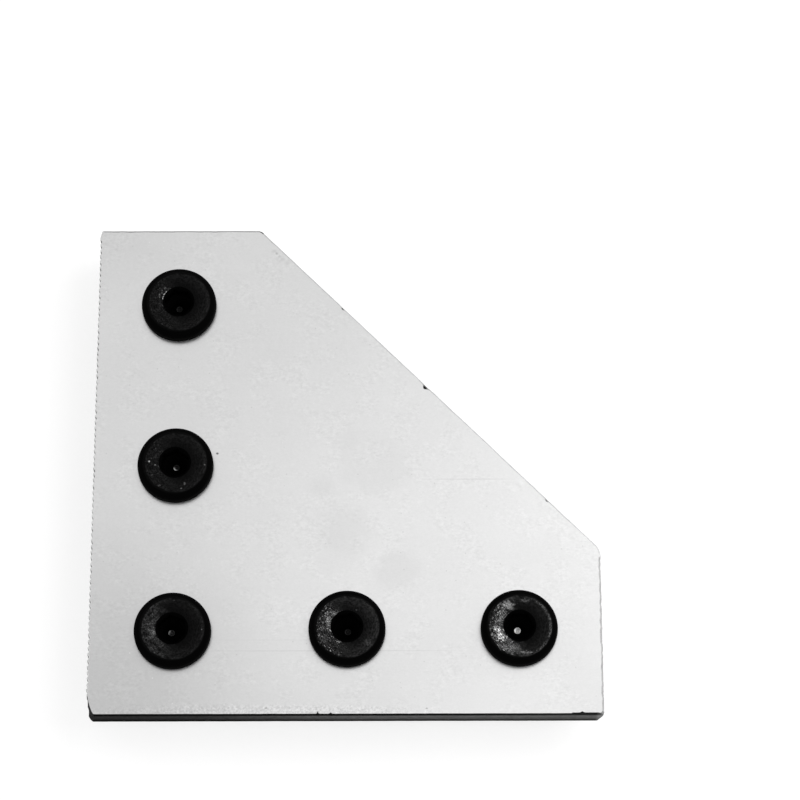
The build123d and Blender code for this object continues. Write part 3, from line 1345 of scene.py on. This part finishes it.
def smudges_and_painted_light() -> tuple[Patch, ...]:
    """Return the marks on the plate's face: first wide soft differences of tone, which are painted
    light and shade, darker at the left and lighter in the middle and towards the right, then faint
    ones.
    """
    painted_light_pools = (
        Patch(24.0, 9.0, 32.0, 34.0, 0.634, 1.0, 1.0, 0.1, 0.2),
        Patch(51.0, 9.0, 10.0, 10.0, 0.575, 0.7, 1.0, 0.1, 0.2),
        Patch(36.0, -8.0, 15.0, 7.0, 0.650, 0.7, 1.0, 0.1, 0.2),
        Patch(-8.0, -10.0, 24.0, 30.0, 0.46, 1.0, 1.0, 0.1, 0.2),
        Patch(-9.5, 49.5, 14.0, 12.0, 0.540, 1.0, 1.0, 0.1, 0.2),
    )
    smeared = (
        Patch(23.6, 20.2, 5.6, 4.9, 0.594, 0.9, 0.6, 0.5, 0.45),
        Patch(20.3, 23.2, 2.4, 1.8, 0.588, 0.8, 0.7, 0.6, 0.6),
        Patch(17.2, 17.4, 2.0, 2.0, 0.588, 0.8, 0.8, 0.6, 0.6),
        Patch(19.6, 11.8, 4.6, 5.2, 0.595, 0.9, 0.7, 0.5, 0.4),
        Patch(26.1, 7.2, 3.2, 3.1, 0.600, 0.9, 0.5, 0.4, 0.6),
        Patch(11.30, 47.10, 0.40, 0.34, 0.48, 0.7, 0.9, 0.7),
        Patch(11.62, 46.78, 0.24, 0.22, 0.36, 0.8, 0.8, 0.4),
        Patch(11.98, 46.42, 0.32, 0.28, 0.47, 0.7, 0.9, 0.7),
        Patch(12.36, 46.05, 0.42, 0.34, 0.47, 0.7, 0.9, 0.7),
        Patch(12.88, 45.55, 0.40, 0.34, 0.50, 0.6, 0.9, 0.8),
        Patch(4.9, 46.4, 2.0, 2.0, 0.575, 0.60, 0.9, 0.30),
    )
    lines = (
        Patch(13.0, -2.35, 22.6, 0.08, 0.50, 0.50, 0.25, 0.15),
        Patch(13.0, -1.07, 20.0, 0.07, 0.50, 0.45, 0.9, 0.15),
        Patch(34.6, 18.3, 6.4, 0.09, 0.50, 0.65, 0.5, 0.15),
        Patch(-7.2, 18.5, 1.8, 0.07, 0.50, 0.40, 0.9, 0.15),
    )
    specks = (
        Patch(4.88, 21.5, 0.19, 0.16, 0.10, 0.95, 0.5, 0.2),
        Patch(10.96, -9.06, 0.22, 0.12, 0.30, 0.7, 0.5, 0.2),
        Patch(29.35, -9.13, 0.18, 0.12, 0.30, 0.7, 0.5, 0.2),
        Patch(16.88, -9.62, 0.11, 0.18, 0.05, 1.0, 0.5, 0.2),
        Patch(18.37, -9.66, 0.09, 0.12, 0.08, 1.0, 0.5, 0.2),
    )
    return painted_light_pools + smeared + lines + specks


def screws() -> list[SocketScrew]:
    """Return the five screws, each with its place, its seat in its hole and its own wear and painted
    light.
    """
    # Patches on each head: marks and flecks, painted light on the left of the disc, painted highlights
    # on the right of the rim and, on the upright end screw, bright arcs of painted highlight at the
    # socket's mouth.
    level_end_marks_and_light = (
        Patch(-3.15, 0.9, 0.60, 1.7, 0.010, 0.95, 0.8, 0.7),
        Patch(-1.22, 2.38, 0.90, 0.70, 0.26, 0.9, 0.7, 1.1),
        Patch(-2.10, 1.1, 0.30, 0.9, 0.12, 0.8, 0.8, 0.9),
        Patch(-2.35, -0.95, 0.34, 0.60, 0.30, 0.9, 0.8, 1.6, 5.0),
        Patch(-2.60, -0.5, 0.40, 0.38, 0.70, 1.0, 0.6, 2.6, 5.5),
        Patch(-2.12, -1.35, 0.56, 0.44, 0.70, 1.0, 0.6, 2.8, 5.5),
        Patch(-1.1, -2.6, 1.3, 0.50, 0.15, 0.8, 0.8, 1.0),
        Patch(0.55, -3.15, 1.05, 0.24, 0.12, 0.9, 0.8, 1.2, 4.0),
        Patch(0.55, 2.95, 0.70, 0.30, 0.07, 0.8, 0.8, 1.2, 4.0),
    )
    level_middle_marks_and_light = (
        Patch(-1.30, 1.50, 0.62, 0.30, 0.20, 1.0, 0.5, 4.2, 7.0),
        Patch(-2.10, 0.50, 0.30, 0.80, 0.22, 1.0, 0.5, 4.2, 7.0),
        Patch(-2.80, -0.40, 0.36, 0.40, 0.08, 0.9, 0.5, 4.0, 7.0),
        Patch(-0.92, -1.80, 0.36, 0.11, 0.26, 1.0, 0.7, 1.0, 5.0),
        Patch(-2.60, -1.50, 0.60, 0.50, 0.05, 0.9, 0.5, 4.0, 7.0),
        Patch(2.30, -1.90, 0.60, 0.50, 0.035, 0.8, 0.8, 2.0, 4.0),
        Patch(1.10, 1.95, 0.16, 0.14, 0.08, 0.9, 0.7, 0.6),
    )
    corner_marks_and_light = (
        Patch(-2.30, -0.35, 0.75, 1.00, 0.065, 0.9, 0.9, 1.4, 3.0),
        Patch(-2.05, -0.55, 0.30, 0.60, 0.13, 0.9, 0.9, 1.2, 4.0),
        Patch(0.4, -2.6, 2.6, 0.75, 0.006, 0.8, 0.8, 0.5),
        Patch(3.48, -0.16, 0.10, 0.10, 0.08, 1.0, 0.5, 0.1),
        Patch(0.2, 3.3, 0.14, 0.10, 0.05, 1.0, 0.5, 0.1),
    )
    upright_middle_marks_and_light = (
        Patch(-2.99, 0.12, 0.16, 0.16, 0.26, 1.0, 0.6, 0.5),
        Patch(-2.28, -0.34, 0.13, 0.12, 0.13, 1.0, 0.6, 0.5),
        Patch(-2.64, -1.56, 0.15, 0.12, 0.09, 1.0, 0.6, 0.5),
        Patch(3.50, -0.32, 0.10, 0.13, 0.10, 1.0, 0.6, 0.5),
        Patch(1.19, -2.60, 0.15, 0.30, 0.07, 1.0, 0.8, 0.5),
        Patch(0.80, -3.20, 0.16, 0.12, 0.06, 1.0, 0.6, 0.5),
        Patch(-1.75, -2.85, 0.16, 0.13, 0.07, 1.0, 0.6, 0.5),
        Patch(-1.65, 1.35, 0.45, 0.16, 0.022, 0.9, 0.8, 0.8),
    )
    upright_end_marks_and_light = (
        Patch(-1.84, 0.46, 0.13, 0.28, 0.60, 1.0, 0.6, 0.3),
        Patch(-1.70, 0.80, 0.14, 0.28, 0.55, 1.0, 0.6, 0.3),
        Patch(-1.48, 1.14, 0.17, 0.24, 0.32, 1.0, 0.7, 0.3),
        Patch(-1.18, 1.44, 0.22, 0.14, 0.10, 1.0, 0.7, 0.3),
        Patch(-2.28, 0.75, 0.12, 0.50, 0.08, 0.9, 0.8, 0.6),
        Patch(-2.00, 1.30, 0.15, 0.40, 0.09, 0.9, 0.8, 0.6),
        Patch(-1.62, 1.75, 0.20, 0.26, 0.07, 0.9, 0.8, 0.6),
        Patch(-1.10, 1.66, 0.45, 0.15, 0.05, 0.9, 0.8, 0.5),
        Patch(-2.20, -0.30, 0.30, 0.80, 0.018, 0.8, 0.9, 0.8),
    )
    return [
        SocketScrew("screw_corner", 0, 0, shift_x=0.09, shift_y=-0.085, socket_turn=0.20,
                    wear_and_light=HeadWearAndLight.RUBBED, marks=corner_marks_and_light,
                    pip_highlight_tones=(0.20, 0.02), pip_highlight_angle=2.8, pip_shift=(-0.17, 0.03)),
        SocketScrew("screw_level_middle", 20, 0, shift_x=0.215, shift_y=0.105, socket_turn=0.75,
                    wear_and_light=HeadWearAndLight.STREAKED, marks=level_middle_marks_and_light,
                    pip_highlight_tones=(0.018, 0.010), pip_highlight_angle=3.1, pip_shift=(0.09, -0.08)),
        SocketScrew("screw_level_end", 40, 0, shift_x=0.09, shift_y=0.155, socket_turn=0.50,
                    wear_and_light=HeadWearAndLight.CHALKY, marks=level_end_marks_and_light,
                    pip_highlight_tones=(0.95, 0.42), pip_highlight_angle=3.1, pip_shift=(-0.15, -0.01)),
        SocketScrew("screw_upright_middle", 0, 20, shift_x=0.02, shift_y=-0.115, socket_turn=0.95,
                    wear_and_light=HeadWearAndLight.CLEAN, marks=upright_middle_marks_and_light,
                    pip_highlight_tones=(0.40, 0.012), pip_highlight_angle=4.0, pip_shift=(0.04, 0.08)),
        SocketScrew("screw_upright_end", 0, 40, shift_x=0.03, shift_y=-0.025, socket_turn=0.35,
                    wear_and_light=HeadWearAndLight.CLEAN, marks=upright_end_marks_and_light,
                    pip_highlight_tones=(0.018, 0.010), pip_highlight_angle=3.1, pip_shift=(-0.04, -0.09)),
    ]


def main() -> None:
    """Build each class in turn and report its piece."""
    logging.basicConfig(level=logging.INFO, format="%(name)s: %(message)s")
    groups = EffectGroups()
    face = RolledFace("rolled_face", roughness=0.30, metallic=1.0, specular=0.5, smudges_and_painted_light=smudges_and_painted_light())
    sawn = CutEdge("sawn_wall", roughness=0.60, metallic=1.0, specular=0.5, mottle=0.30, cells=2.2,
                   glance=0.30)
    broken = CutEdge("broken_edge", roughness=0.50, metallic=1.0, specular=0.5, mottle=0.15, cells=1.3)
    pip = CutEdge("drilled_pip", roughness=0.35, metallic=1.0, specular=0.5, mottle=0.55, cells=4.5)
    shank = BlackSteel("black_shank", roughness=0.42, metallic=0.0, specular=0.30, tone=0.014)
    shoulder = BlackSteel("black_shoulder", roughness=0.70, metallic=0.0, specular=0.018, tone=0.0004)
    socket = BlackSteel("black_socket", roughness=0.50, metallic=0.0, specular=0.01, tone=0.0005)
    plate_finishes = [finish.make(groups) for finish in (face, sawn, broken)]
    under, round_head, inside, lit = [finish.make(groups) for finish in (shank, shoulder, socket, pip)]
    all_screws = screws()
    plate = JoiningPlate().build([(screw.x, screw.y) for screw in all_screws], plate_finishes)
    log.info("%s has %d faces", plate.name, len(plate.data.polygons))
    for screw in all_screws:
        piece = screw.build([under, round_head, screw.head_finish(groups), inside, lit])
        log.info("%s has %d faces", piece.name, len(piece.data.polygons))
    Studio().build()


if __name__ == "__main__":
    main()
